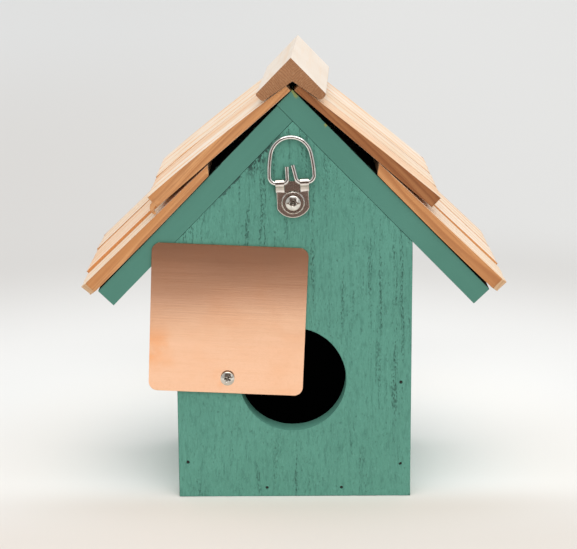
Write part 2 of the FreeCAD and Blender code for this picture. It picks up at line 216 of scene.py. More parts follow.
def painted_wood(name, shift, rough, tone=1.0, seam=0.0, raw=0.0):
    """Flat teal paint on sawn board, its brightness multiplied by tone.

    rough, from 0 to 1, is how open the grain is. seam is the strength of the painted shade in the torn
    joint under the left roof board. raw is the height of the top face of a roof board with bare spots, or
    0 for none.
    """
    deep, light, banded = (0.092, 0.272, 0.205), (0.103, 0.296, 0.226), (0.086, 0.252, 0.194)
    shaded, rubbed = (0.064, 0.200, 0.152), (0.135, 0.352, 0.275)
    pit_shade, crack_shade = (0.036, 0.105, 0.082), (0.030, 0.088, 0.070)

    t = Tree(name)
    place = t.stretch(t.place, (1, 1, 1), (shift, 0.3 * shift, 0))
    wander = t.noise(t.stretch(place, (16, 55, 55)), 2)
    bent = t.vector("ADD", place, t.vector("MULTIPLY", wander, (0, 0.007, 0.002)))
    fibres = t.noise(t.stretch(bent, (480, 1500, 1500)), 4, 0.68)
    ridges = t.noise(t.stretch(bent, (150, 700, 700), (5, 8, 1)), 4, 0.66)
    bands = t.noise(t.stretch(bent, (9, 150, 150)), 3, 0.55)
    clouds = t.noise(t.stretch(place, (22, 26, 26)), 3)
    strings = t.noise(t.stretch(bent, (13, 520, 520), (7, 5, 1)), 3, 0.6)
    pits = t.noise(t.stretch(bent, (760, 1900, 1900), (3, 1, 2)), 3, 0.7)
    where = t.noise(t.stretch(place, (15, 48, 48), (2, 6.1, 4)), 2)

    facing = t.math("ABSOLUTE", t.part(t.normal, 2))
    open_grain = t.math("MULTIPLY", t.between(facing, 0.5, 0.9), rough)
    coarse = t.math("MULTIPLY", t.between(where, 0.40, 0.60), open_grain)
    string = t.math("MULTIPLY", t.between(strings, 0.54, 0.62), t.between(pits, 0.48, 0.66))
    crack = t.math("MULTIPLY", string, coarse)
    pit = t.math("MULTIPLY", t.between(pits, 0.60, 0.74), t.math("MULTIPLY", open_grain, 0.7))

    colour = t.mix(t.between(clouds, 0.3, 0.7), deep, light)
    colour = t.mix(t.math("MULTIPLY", t.between(bands, 0.40, 0.66), 0.4), colour, banded)
    relief = t.math("MULTIPLY", t.between(ridges, 0.46, 0.68), t.math("MULTIPLY", open_grain, 0.7))
    colour = t.mix(relief, colour, shaded)
    thin = t.math("MULTIPLY", t.between(fibres, 0.50, 0.72), t.math("MULTIPLY", open_grain, 0.55))
    colour = t.mix(thin, colour, rubbed)
    # pits and cracks darker teal: painted shade in the recesses that the bump cuts
    colour = t.mix(t.math("MULTIPLY", pit, 0.6), colour, pit_shade)
    colour = t.mix(t.math("MULTIPLY", crack, 0.34), colour, crack_shade)
    # painted shade in the torn joint under the left roof board
    if seam:
        colour = torn_seam_shade(t, colour, seam)
    if raw:
        colour = raw_spots(t, colour, raw)
    # tone multiplies the whole colour: painted light on the back panel, painted shade on the roof boards
    colour = t.mix(1.0, colour, (tone, tone, tone), "MULTIPLY")

    height = t.math("MULTIPLY", t.math("ADD", fibres, ridges), open_grain)
    height = t.math("ADD", height, t.math("MULTIPLY", bands, 0.4))
    height = t.math("SUBTRACT", height, t.math("MULTIPLY", crack, 1.4))
    height = t.math("SUBTRACT", height, pit)
    roughness = t.math("ADD", t.math("MULTIPLY", fibres, 0.18), 0.52)
    return t.finish(colour, roughness, t.bump(height, 0.26 * MM), Specular_IOR_Level=0.28)


def painted_inside_shade():
    """Painted shade for the inside of the box, which gets little light, and for the roof boards' tops
    under the shingles: near black, with the boards' grain.
    """
    t = Tree("painted_inside_shade")
    grain = t.noise(t.stretch(t.place, (30, 500, 500)), 4, 0.6)
    colour = t.mix(grain, (0.0008, 0.0014, 0.0012), (0.0022, 0.0034, 0.0030))
    roughness = t.math("ADD", t.math("MULTIPLY", grain, 0.15), 0.78)
    return t.finish(colour, roughness, t.bump(grain, 0.2 * MM), Specular_IOR_Level=0.1)


def bare_wood(name, shift, tone, ring_step, ring_slant, stain_and_shade):
    """Bare softwood: pale on the outer face, orange on the sawn sides, light brown at the ends.
    The pale face and the darker sides are partly the wood's own colour, partly painted light and shade.

    ring_step is in millimetres. tone multiplies the whole colour, and stain the sawn sides, which on one
    shingle is painted shade.
    """
    pale_warm, pale_cool = (0.85, 0.700, 0.545), (0.88, 0.760, 0.640)
    pale_line, pale_strong, pale_fibre = (0.84, 0.53, 0.29), (0.80, 0.42, 0.17), (0.82, 0.575, 0.355)
    sawn_dark, sawn_light = (0.52, 0.225, 0.080), (0.65, 0.330, 0.140)
    sawn_line, sawn_fibre, gap_side_light = (0.36, 0.135, 0.045), (0.42, 0.180, 0.072), (0.78, 0.385, 0.15)
    end_dark, end_light, end_line = (0.72, 0.46, 0.26), (0.86, 0.60, 0.38), (0.52, 0.27, 0.13)

    t = Tree(name)
    place = t.stretch(t.place, (1, 1, 1), (shift, 0.37 * shift, 0.21 * shift))
    wander = t.noise(t.stretch(place, (9, 70, 70)), 2)
    bent = t.vector("ADD", place, t.vector("MULTIPLY", wander, (0, 0.004, 0.003)))
    across = t.vector("DOT_PRODUCT", bent, (0, math.cos(ring_slant), math.sin(ring_slant)))
    rings = t.math("FRACT", t.math("DIVIDE", across, ring_step * MM))
    ring_end = t.between(t.math("SUBTRACT", 1.0, rings), 0.0, 0.08)
    late = t.math("MULTIPLY", t.between(rings, 0.45, 0.90), ring_end)
    fibres = t.noise(t.stretch(bent, (40, 1900, 1900)), 4, 0.62)
    fades = t.noise(t.stretch(bent, (9, 320, 320), (1, 4, 2)), 3, 0.55)
    clouds = t.noise(t.stretch(place, (28, 60, 60)), 2)
    lines = t.math("MULTIPLY", late, t.between(fades, 0.42, 0.64))
    groups = t.math("FRACT", t.math("DIVIDE", across, 4.3 * ring_step * MM))
    strong = t.math("MULTIPLY", t.between(groups, 0.70, 0.88), t.between(groups, 1.0, 0.94))
    strong = t.math("MULTIPLY", strong, t.between(fades, 0.36, 0.50))

    pale = t.mix(t.between(clouds, 0.3, 0.7), pale_warm, pale_cool)
    pale = t.mix(t.math("MULTIPLY", lines, 0.6), pale, pale_line)
    pale = t.mix(t.math("MULTIPLY", strong, 0.9), pale, pale_strong)
    pale = t.mix(t.math("MULTIPLY", t.between(fibres, 0.54, 0.78), 0.7), pale, pale_fibre)

    sawn = t.mix(t.between(fades, 0.3, 0.7), sawn_dark, sawn_light)
    sawn = t.mix(t.math("MULTIPLY", late, 0.6), sawn, sawn_line)
    sawn = t.mix(t.math("MULTIPLY", t.between(fibres, 0.48, 0.70), 0.9), sawn, sawn_fibre)
    # darker sawn sides on right_upper_shingle_1: painted shade
    sawn = t.mix(1.0, sawn, stain_and_shade, "MULTIPLY")
    # sides that face the next shingle across a gap are lighter orange: painted light in the gaps
    gap_sides = t.between(t.math("ABSOLUTE", t.part(t.place, 1)), 42.5 * MM, 41.5 * MM)
    sawn = t.mix(t.math("MULTIPLY", gap_sides, 0.8), sawn, gap_side_light)

    ends = t.mix(t.between(clouds, 0.3, 0.7), end_dark, end_light)
    ends = t.mix(t.math("MULTIPLY", late, 0.4), ends, end_line)

    # colour by facing: partly the wood's own colour, partly painted light on the face turned up and
    # painted shade on the sides
    outer = t.between(t.part(t.normal, 2), 0.35, 0.75)
    end = t.between(t.math("ABSOLUTE", t.part(t.normal, 0)), 0.45, 0.75)
    colour = t.mix(outer, sawn, pale)
    colour = t.mix(end, colour, ends)
    colour = t.mix(1.0, colour, tone, "MULTIPLY")

    height = t.math("ADD", fibres, t.math("MULTIPLY", late, 0.5))
    roughness = t.math("ADD", t.math("MULTIPLY", fibres, 0.2), 0.55)
    return t.finish(colour, roughness, t.bump(height, 0.16 * MM), Specular_IOR_Level=0.3)


def cap_wood():
    """The ridge block: clear pale wood along it, and dark ends whose rings stand square to the slopes."""
    pale_warm, pale_cool = (0.81, 0.700, 0.590), (0.845, 0.750, 0.650)
    pale_streak, pale_fibre = (0.82, 0.62, 0.44), (0.80, 0.60, 0.41)
    end_dark, end_light = (0.325, 0.142, 0.059), (0.39, 0.180, 0.080)
    end_line, end_speckle = (0.25, 0.105, 0.046), (0.53, 0.29, 0.150)
    ring_step = 0.95 * MM

    t = Tree("ridge_cap_wood")
    fibres = t.noise(t.stretch(t.place, (32, 1500, 1500)), 4, 0.6)
    fades = t.noise(t.stretch(t.place, (10, 210, 210), (1, 4, 2)), 3, 0.5)
    clouds = t.noise(t.stretch(t.place, (30, 60, 60)), 2)
    pale = t.mix(t.between(clouds, 0.3, 0.7), pale_warm, pale_cool)
    pale = t.mix(t.math("MULTIPLY", t.between(fades, 0.48, 0.72), 0.45), pale, pale_streak)
    pale = t.mix(t.math("MULTIPLY", t.between(fibres, 0.56, 0.80), 0.5), pale, pale_fibre)

    sideways = t.math("MULTIPLY", t.math("ABSOLUTE", t.part(t.place, 1)), 0.70)
    wander = t.noise(t.stretch(t.place, (1, 130, 130)), 2)
    along = t.math("ADD", sideways, t.math("MULTIPLY", t.part(t.place, 2), -0.71))
    along = t.math("ADD", along, t.math("MULTIPLY", wander, 3.5 * MM))
    rings = t.math("FRACT", t.math("DIVIDE", along, ring_step))
    late = t.between(t.math("ABSOLUTE", t.math("SUBTRACT", rings, 0.5)), 0.18, 0.42)
    speckle = t.noise(t.stretch(t.place, (1, 900, 900)), 4, 0.65)
    ends = t.mix(t.between(clouds, 0.3, 0.7), end_dark, end_light)
    ends = t.mix(t.math("MULTIPLY", late, 0.45), ends, end_line)
    ends = t.mix(t.math("MULTIPLY", t.between(speckle, 0.5, 0.75), 0.7), ends, end_speckle)

    end = t.between(t.math("ABSOLUTE", t.part(t.normal, 0)), 0.6, 0.85)
    colour = t.mix(end, pale, ends)
    height = t.math("ADD", fibres, t.math("MULTIPLY", t.math("MULTIPLY", late, end), -0.6))
    roughness = t.math("ADD", t.math("MULTIPLY", fibres, 0.2), 0.55)
    return t.finish(colour, roughness, t.bump(height, 0.14 * MM), Specular_IOR_Level=0.3)


def copper_stains(t, marks):
    """The share of warm stain: at one edge of the sheet near its foot, and round the screw."""
    pivot = t.vector("SUBTRACT", t.place, tuple(SCREW_PLACE))
    ring = t.vector("LENGTH", t.vector("MULTIPLY", pivot, (1, 0, 1)))
    halo = t.math("MULTIPLY", t.between(ring, 8 * MM, 3.5 * MM), t.between(marks, 0.40, 0.60))
    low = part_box("cover_plate")[0]
    edge = t.math("SUBTRACT", t.part(t.place, 0), low.x + 2.5 * MM)
    rise = t.math("ABSOLUTE", t.math("SUBTRACT", t.part(t.place, 2), low.z + 19 * MM))
    stain_and_shade = t.math("MULTIPLY", t.between(edge, 8 * MM, 0.0), t.between(rise, 13 * MM, 3 * MM))
    stain_and_shade = t.math("MULTIPLY", stain_and_shade, t.between(marks, 0.34, 0.56))
    return t.math("MAXIMUM", stain_and_shade, t.math("MULTIPLY", halo, 0.8))


def copper_sheet():
    """Brushed copper: fine lines along the sheet's own X, faint clouds, grit and warmer stains."""
    clear, clouded, stained = (0.925, 0.570, 0.376), (0.915, 0.525, 0.325), (0.92, 0.42, 0.19)
    brushed, gritty = (0.86, 0.49, 0.30), (0.80, 0.44, 0.26)

    t = Tree("copper_sheet")
    brushing = t.noise(t.stretch(t.place, (22, 2000, 2000)), 4, 0.65)
    broad = t.noise(t.stretch(t.place, (9, 330, 330), (5, 1, 2)), 3)
    marks = t.noise(t.stretch(t.place, (48, 60, 60), (2, 2, 7)), 3, 0.55, 0.4)
    grit = t.noise(t.stretch(t.place, (1500, 1500, 1500), (3, 3, 3)), 2, 0.6)

    colour = t.mix(t.between(marks, 0.35, 0.75), clear, clouded)
    colour = t.mix(t.math("MULTIPLY", copper_stains(t, marks), 0.85), colour, stained)
    colour = t.mix(t.math("MULTIPLY", t.between(brushing, 0.45, 0.75), 0.5), colour, brushed)
    colour = t.mix(t.math("MULTIPLY", t.between(grit, 0.45, 0.75), 0.35), colour, gritty)
    roughness = t.math("ADD", t.math("MULTIPLY", broad, 0.05), 0.135)
    roughness = t.math("ADD", roughness, t.math("MULTIPLY", marks, 0.03))
    return t.finish(colour, roughness, t.bump(brushing, 0.006 * MM), Metallic=1.0)


def zinc_steel(name, base, dull):
    """Bright plated steel with slight mottling and handling scratches. dull is its least roughness."""
    t = Tree(name)
    mottle = t.noise(t.stretch(t.place, (420, 420, 420)), 3, 0.6)
    scratches = t.noise(t.stretch(t.place, (2600, 400, 260), (1, 2, 3)), 3, 0.7)
    colour = t.mix(t.between(mottle, 0.3, 0.7), base, tuple(0.82 * c for c in base))
    roughness = t.math("ADD", t.math("MULTIPLY", mottle, 0.12), dull)
    height = t.math("ADD", mottle, t.math("MULTIPLY", scratches, 0.5))
    return t.finish(colour, roughness, t.bump(height, 0.01 * MM), Metallic=1.0)


def brad_steel():
    """The sunk brads: dull dark iron, near black, partly the iron's own colour and partly painted shade in
    their holes.
    """
    t = Tree("brad_steel")
    mottle = t.noise(t.stretch(t.place, (900, 900, 900)), 3, 0.6)
    colour = t.mix(mottle, (0.012, 0.016, 0.014), (0.055, 0.045, 0.036))
    roughness = t.math("ADD", t.math("MULTIPLY", mottle, 0.2), 0.55)
    return t.finish(colour, roughness, t.bump(mottle, 0.1 * MM), Metallic=0.5)


# ---------------------------------------------------------------- meshes

def grain_frame(grain, outward):
    """A turn that takes X to the grain's direction and Z to the outer face's normal."""
    return Matrix((grain, outward.cross(grain), outward)).transposed().to_4x4()


def roof_frame(side):
    """The frame of a roof slope, side -1 (left) or 1 (right), with the grain down the slope."""
    c, s = math.cos(ROOF_PITCH), math.sin(ROOF_PITCH)
    return grain_frame(Vector((side * c, 0, -s)), Vector((side * s, 0, c)))


def clean_copy(node, turn):
    """The CAD node's mesh in its own turned frame, welded, each flat face one polygon."""
    bm = bmesh.new()
    bm.from_mesh(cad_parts[node].data)
    bmesh.ops.transform(bm, matrix=turn.inverted(), verts=bm.verts)
    bmesh.ops.remove_doubles(bm, verts=bm.verts, dist=1e-6)
    bmesh.ops.dissolve_limit(bm, angle_limit=math.radians(0.6), verts=bm.verts, edges=bm.edges)
    return bm


def sharp_edges(bm, shortest, least=math.radians(24)):
    """The edges where two faces meet at an angle, apart from short ones such as a brad hole's rim."""
    found = []
    for e in bm.edges:
        if len(e.link_faces) == 2 and e.calc_length() > shortest and e.calc_face_angle(0) > least:
            found.append(e)
    return found


def soften(bm, edges, width, segments=2):
    """Bevels the edges, width being how far the bevel reaches from each edge."""
    bmesh.ops.bevel(
        bm, geom=edges, offset=width, offset_type="OFFSET", segments=segments, profile=0.6,
        affect="EDGES", clamp_overlap=True
    )


def cut_at(bm, axis, position):
    """Cuts the faces along the plane where the axis has this value."""
    point, normal = Vector(), Vector()
    point[axis] = position
    normal[axis] = 1
    geometry = bm.verts[:] + bm.edges[:] + bm.faces[:]
    bmesh.ops.bisect_plane(bm, geom=geometry, dist=1e-7, plane_co=point, plane_no=normal)


def cut_in_cells(bm, axis, step):
    """Cuts every face into strips, so that the surface can be worked."""
    low = min(v.co[axis] for v in bm.verts)
    high = max(v.co[axis] for v in bm.verts)
    count = max(1, round((high - low) / step))
    for i in range(1, count):
        cut_at(bm, axis, low + (high - low) * i / count)


def sink(bm, depth):
    """Moves each vertex in along its normal by depth(point, normal), so the piece never grows."""
    bm.normal_update()
    moves = [(v, v.normal * max(0.0, depth(v.co, v.normal))) for v in bm.verts]
    for vertex, move in moves:
        vertex.co -= move


def ripple(point, along, across, seed):
    """Noise from 0 to 1, with its grain along X."""
    place = Vector((point.x * along, point.y * across, point.z * across))
    return 0.5 + 0.5 * noise.noise(place + Vector((seed, 2.3 * seed, 0.7 * seed)))


def new_object(bm, name, materials):
    """Makes the object from the bmesh, which is freed, and puts it in the scene."""
    mesh = bpy.data.meshes.new(name)
    bm.to_mesh(mesh)
    bm.free()
    for material in materials:
        mesh.materials.append(material)
    made = bpy.data.objects.new(name, mesh)
    bpy.context.scene.collection.objects.link(made)
    return made


def piece_from(bm, name, turn, materials, body, replaces):
    """Makes a visible piece, in place in the row frame, parents it to its body's empty and hides the CAD
    node it replaces.
    """
    piece = new_object(bm, name, materials)
    piece.data.shade_smooth()
    piece.data.set_sharp_from_angle(angle=math.radians(38))
    piece.matrix_world = turn
    weighted = piece.modifiers.new("weighted", "WEIGHTED_NORMAL")
    weighted.keep_sharp = True
    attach(piece, body)
    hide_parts(replaces)
    return piece


# ---------------------------------------------------------------- painted boards

CAVITY_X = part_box("right_wall")[0].x          # half the clear width of the box's inside
CAVITY_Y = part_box("front_panel")[0].y         # half its clear depth
FLOOR_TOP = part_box("floor_board")[1].z


def mark_shaded_faces(bm, turn, covered):
    """Gives the faces that look into the box the second material, painted shade, and the outer face too if
    it is covered.
    """
    slack = 0.4 * MM
    bm.normal_update()
    for face in bm.faces:
        centre = turn @ face.calc_center_median()
        within = abs(centre.x) < CAVITY_X + slack and abs(centre.y) < CAVITY_Y + slack
        if within and centre.z > FLOOR_TOP - slack and face.normal.z < 0.5:
            face.material_index = 1
        elif covered and face.normal.z > 0.9:
            face.material_index = 1


def on_seam(point):
    """True where a roof board bears on an end panel or on the other roof board."""
    return abs(abs(point.z - GABLE_APEX) - abs(point.x) * math.tan(ROOF_PITCH)) < 0.2 * MM


def at_rim(turn, edge, rims):
    """True for an edge on the rim of one of the large holes, given as (centre, radius)."""
    for centre, radius in rims:
        reach = [(turn @ v.co) - centre for v in edge.verts]
        if all(abs(math.hypot(r.x, r.z) - radius) < 0.2 * MM for r in reach):
            return True
    return False


def soften_board(bm, turn, rims):
    """Eases the arrises and the rims of the large holes, and leaves the seams almost sharp."""
    def is_seam(edge):
        return all(on_seam(turn @ v.co) for v in edge.verts)

    edges = sharp_edges(bm, 3 * MM)
    soften(bm, [e for e in edges if is_seam(e)], 0.06 * MM, 1)
    rim_edges = [e for e in sharp_edges(bm, 0.0) if e not in edges and at_rim(turn, e, rims)]
    arrises = sharp_edges(bm, 3 * MM) + rim_edges
    soften(bm, [e for e in arrises if not is_seam(e)], 0.25 * MM)


def board_piece(node, turn, paint, inside, cell, depth, seed, rims=(), covered=False):
    """A painted board: softened arrises, sawn surface. rims are (centre, radius) of large holes."""
    bm = clean_copy(node, turn)
    soften_board(bm, turn, rims)
    cut_in_cells(bm, 0, 3 * cell)
    cut_in_cells(bm, 1, cell)

    def sawn(point, normal):
        coarse = ripple(point, 25, 220, seed)
        fine = ripple(point, 120, 700, seed + 5)
        wear = ripple(point, 60, 60, seed + 9) ** 3
        edge = 1 - max(abs(normal.x), abs(normal.y), abs(normal.z))
        return depth * (0.55 * coarse + 0.45 * fine) + 1.8 * edge * wear * MM

    sink(bm, sawn)
    mark_shaded_faces(bm, turn, covered)
    return piece_from(bm, node + "_sawn", turn, [paint, inside], "house", node)


def painted_boards():
    inside = painted_inside_shade()
    # tone 1.06 on the back panel is painted light and tone 0.80 on the roof boards painted shade: lit and
    # shaded copies of one teal paint
    torn = painted_wood("teal_paint_torn_lit", 0.4, 1.0, tone=1.06, seam=0.85)
    rough = painted_wood("teal_paint_rough", 0.0, 1.0)
    plain = painted_wood("teal_paint_plain", 1.7, 0.55)
    smooth = painted_wood("teal_paint_smooth_shaded", 3.1, 0.45, tone=0.80)
    chipped = painted_wood("teal_paint_chipped_shaded", 4.3, 0.45, tone=0.80, raw=ROOF_TOP)
    clean_out = (Vector((CLEAN_OUT_X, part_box("back_panel")[0].y, CLEAN_OUT_Z)), CLEAN_OUT_RADIUS)
    entrance = (Vector((0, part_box("front_panel")[1].y, ENTRANCE_Z)), ENTRANCE_RADIUS)
    cell, fine_cell, depth = 1.6 * MM, 0.9 * MM, 0.16 * MM
    board_piece("back_panel", grain_frame(UP, BACK), torn, inside, fine_cell, depth, 1.0, [clean_out])
    board_piece("front_panel", grain_frame(UP, FRONT), rough, inside, cell, depth, 2.0, [entrance])
    board_piece("left_wall", grain_frame(UP, LEFT), plain, inside, cell, depth, 3.0)
    board_piece("right_wall", grain_frame(UP, RIGHT), plain, inside, cell, depth, 4.0)
    board_piece("floor_board", grain_frame(RIGHT, DOWN), plain, inside, 3 * MM, depth, 5.0)
    # covered: the roof boards' tops under the shingles get the near-black painted shade
    board_piece("left_roof_board", roof_frame(-1), smooth, inside, 3 * MM, 0.1 * MM, 6.0, covered=True)
    board_piece("right_roof_board", roof_frame(1), chipped, inside, 3 * MM, 0.1 * MM, 7.0, covered=True)


# ---------------------------------------------------------------- shingles and ridge cap

TONES = [(1.0, 1.0, 1.0), (0.98, 0.96, 0.93), (1.0, 0.98, 0.96), (0.97, 0.94, 0.90)]
WARM_TONE = (0.98, 0.86, 0.76)
WARM_SHINGLES = ("right_upper_shingle_1", "left_upper_shingle_2", "left_lower_shingle_2")
# right_upper_shingle_1 has its sawn sides darkened: painted shade. The other shingles' sides are a touch
# lighter.
SHADE_SIDED = "right_upper_shingle_1"
SHADED_SIDES, LIGHT_SIDES = (0.60, 0.54, 0.50), (1.06, 1.04, 1.03)
SPLINTERED = "left_upper_shingle_1"


def across_board(edge):
    """True for an edge through the board's thickness."""
    run = edge.verts[1].co - edge.verts[0].co
    return abs(run.z) > 0.8 * run.length


def splinter(bm, butt, near):
    """A sliver torn loose and curled down, at the left slope's butt corner on the wall side."""
    inset, width = 0.3 * MM, 2.1 * MM
    bottom = min(v.co.z for v in bm.verts if butt - v.co.x < 1.5 * MM)
    outline = [(-1.0, 3.3), (1.0, 3.2), (2.6, 2.0), (3.3, 0.2), (3.2, -1.4), (2.3, -1.7),
               (1.9, -0.2), (0.9, 0.9), (-1.0, 0.9)]          # millimetres past the butt, and up
    rings = []
    for y in (near - inset, near - inset - width):
        rings.append([bm.verts.new((butt + a * MM, y, bottom + b * MM)) for a, b in outline])
    faces = [bm.faces.new(rings[0]), bm.faces.new(list(reversed(rings[1])))]
    for i in range(len(outline)):
        j = (i + 1) % len(outline)
        faces.append(bm.faces.new((rings[0][j], rings[0][i], rings[1][i], rings[1][j])))
    bmesh.ops.recalc_face_normals(bm, faces=faces)
    edges = list({e for f in faces for e in f.edges})
    soften(bm, edges, 0.2 * MM)


def knock_off_corner(bm, node, side, butt, near):
    """Takes the corner off the butt on the wall side, most on the two lower shingles of that side."""
    corner = []
    for e in sharp_edges(bm, 3 * MM):
        middle = (e.verts[0].co + e.verts[1].co) / 2
        from_edge = near + side * middle.y
        if across_board(e) and butt - middle.x < 3 * MM and from_edge < 1 * MM:
            corner.append(e)
    width = 3.6 * MM if "lower_shingle_1" in node else 1.0 * MM
    soften(bm, corner, width, 1 if "lower" in node else 2)


def shingle(node, side, number):
    """A riven shingle: wavy face, sawn sides, a torn butt whose corner on the wall side is knocked off."""
    turn = roof_frame(side)
    bm = clean_copy(node, turn)
    butt = max(v.co.x for v in bm.verts)
    near = max(side * -v.co.y for v in bm.verts)  # from the middle to the edge on the wall side
    knock_off_corner(bm, node, side, butt, near)
    rounded = [e for e in sharp_edges(bm, 3 * MM) if all(butt - v.co.x < 6 * MM for v in e.verts)]
    soften(bm, rounded, 0.7 * MM)
    soften(bm, sharp_edges(bm, 7 * MM), 0.3 * MM)
    cut_in_cells(bm, 0, 3.2 * MM)
    cut_in_cells(bm, 1, 1.6 * MM)
    seed = 11.0 + 3.7 * number + side

    def worked(point, normal):
        if normal.z < -0.3:
            return 0.0
        face = 0.16 * MM * ripple(point, 22, 150, seed)
        sides = abs(normal.y) * 0.12 * MM * ripple(point, 45, 10, seed + 7)
        torn = 0.0
        if butt - point.x < 2.0 * MM:
            torn = 0.7 * MM * ripple(point, 0, 260, seed + 13) ** 2
        return face + sides + torn

    sink(bm, worked)
    if node == SPLINTERED:
        splinter(bm, butt, near)
    tone = WARM_TONE if node in WARM_SHINGLES else TONES[number % len(TONES)]
    ring_step, ring_slant = 1.7 + 0.17 * (number % 5), 0.25 + 0.13 * (number % 7)
    stain_and_shade = SHADED_SIDES if node == SHADE_SIDED else LIGHT_SIDES
    wood = bare_wood(f"{node}_wood", 0.31 * number + 0.1 * side, tone, ring_step, ring_slant, stain_and_shade)
    return piece_from(bm, node + "_riven", turn, [wood], "house", node)


def all_shingles():
    number = 0
    for side, name in ((-1, "left"), (1, "right")):
        for course in ("lower", "upper"):
            for place in (1, 2, 3):
                number += 1
                shingle(f"{name}_{course}_shingle_{place}", side, number)


def ridge_cap():
    """The ridge block, planed, with its two long feet rounded more than its other edges."""
    turn = grain_frame(FRONT, UP)
    bm = clean_copy("ridge_cap", turn)
    feet = [e for e in sharp_edges(bm, 30 * MM) if all(abs(v.co.y) > 8 * MM for v in e.verts)]
    soften(bm, feet, 1.2 * MM, 3)
    soften(bm, sharp_edges(bm, 3 * MM), 0.4 * MM)
    cut_in_cells(bm, 0, 5 * MM)
    cut_in_cells(bm, 1, 2 * MM)

    def planed(point, normal):
        return 0.12 * MM * ripple(point, 20, 120, 31.0) if normal.z > -0.2 else 0.0

    sink(bm, planed)
    return piece_from(bm, "ridge_cap_planed", turn, [cap_wood()], "house", "ridge_cap")


# ---------------------------------------------------------------- metal

def cover():
    """The copper sheet: eased edges, and the slight waves that a hand-cut sheet has."""
    turn = Matrix.Rotation(COVER_TILT, 4, "Y")
    bm = clean_copy("cover_plate", turn)
    soften(bm, sharp_edges(bm, 0.0, math.radians(50)), 0.16 * MM)
    cut_in_cells(bm, 0, 3 * MM)
    cut_in_cells(bm, 2, 3 * MM)

    def waves(point, normal):
        if abs(normal.y) < 0.9:
            return 0.0
        place = Vector((point.x * 38, point.z * 46, 4.0 if normal.y < 0 else 9.0))
        return 0.09 * MM * (0.5 + 0.5 * noise.noise(place))

    sink(bm, waves)
    return piece_from(bm, "cover_plate_brushed", turn, [copper_sheet()], "cover", "cover_plate")


def strap(steel):
    """The folded strap with its sheared edges eased, which gives them their bright line."""
    thickness, boss_radius = 1.5 * MM, 6 * MM             # the sheet is folded double
    bm = clean_copy("hanger_strap", Matrix())
    axis = (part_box("hanger_screw")[0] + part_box("hanger_screw")[1]) / 2
    plate_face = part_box("hanger_strap")[1].y - thickness
    outline = []
    for e in sharp_edges(bm, 0.1 * MM, math.radians(60)):
        flat = all(abs(v.co.y - plate_face) < 0.05 * MM for v in e.verts)
        outside = all(math.hypot(v.co.x - axis.x, v.co.z - axis.z) > boss_radius for v in e.verts)
        if flat and outside:
            outline.append(e)
    soften(bm, outline, 0.42 * MM, 3)
    soften(bm, sharp_edges(bm, 0.35 * MM, math.radians(50)), 0.16 * MM)
    return piece_from(bm, "hanger_strap_folded", Matrix(), [steel], "house", "hanger_strap")


def screw(node, steel, shade):
    """A pan-head screw with an eased rim. The cross recess has a darker material: painted shade."""
    mouth, bed, bottom = 0.25 * MM, 0.8 * MM, 1.4 * MM    # depths below the top of the head
    reach = 1.72 * MM                                     # of the recess, from the axis
    bm = clean_copy(node, Matrix())
    low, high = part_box(node)
    axis = (low + high) / 2
    soften(bm, sharp_edges(bm, 0.1 * MM, math.radians(50)), 0.06 * MM, 1)
    bm.normal_update()
    for face in bm.faces:
        centre = face.calc_center_median()
        deep = centre.y - low.y
        out = math.hypot(centre.x - axis.x, centre.z - axis.z)
        wall_or_bed = abs(face.normal.y) < 0.8 or deep > bed
        if mouth < deep < bottom and out < reach and wall_or_bed:
            face.material_index = 1
    return piece_from(bm, node + "_turned", Matrix(), [steel, shade], "house", node)


def dress(node, material):
    """Gives its material to a CAD node that keeps its own shape."""
    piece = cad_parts[node]
    if not piece.material_slots:
        piece.data.materials.append(material)
    for place in piece.material_slots:
        place.material = material


def metalwork():
    """The strap and screws are worked further. The ring and the brads keep their CAD shape."""
    head = zinc_steel("screw_steel", (0.74, 0.71, 0.64), 0.10)
    # painted shade for the screws' cross recesses
    shade = zinc_steel("recess_shade_steel", (0.26, 0.225, 0.19), 0.25)
    strap(zinc_steel("strap_steel", (0.78, 0.72, 0.66), 0.09))
    screw("hanger_screw", head, shade)
    screw("cover_screw", head, shade)
    dress("hanger_ring", zinc_steel("zinc_steel", (0.88, 0.86, 0.82), 0.07))
    brads = brad_steel()
    for name in ("back_panel", "front_panel", "roof_board", "left_shingle", "right_shingle"):
        dress(name + "_brads", brads)


# ---------------------------------------------------------------- stage, light and camera

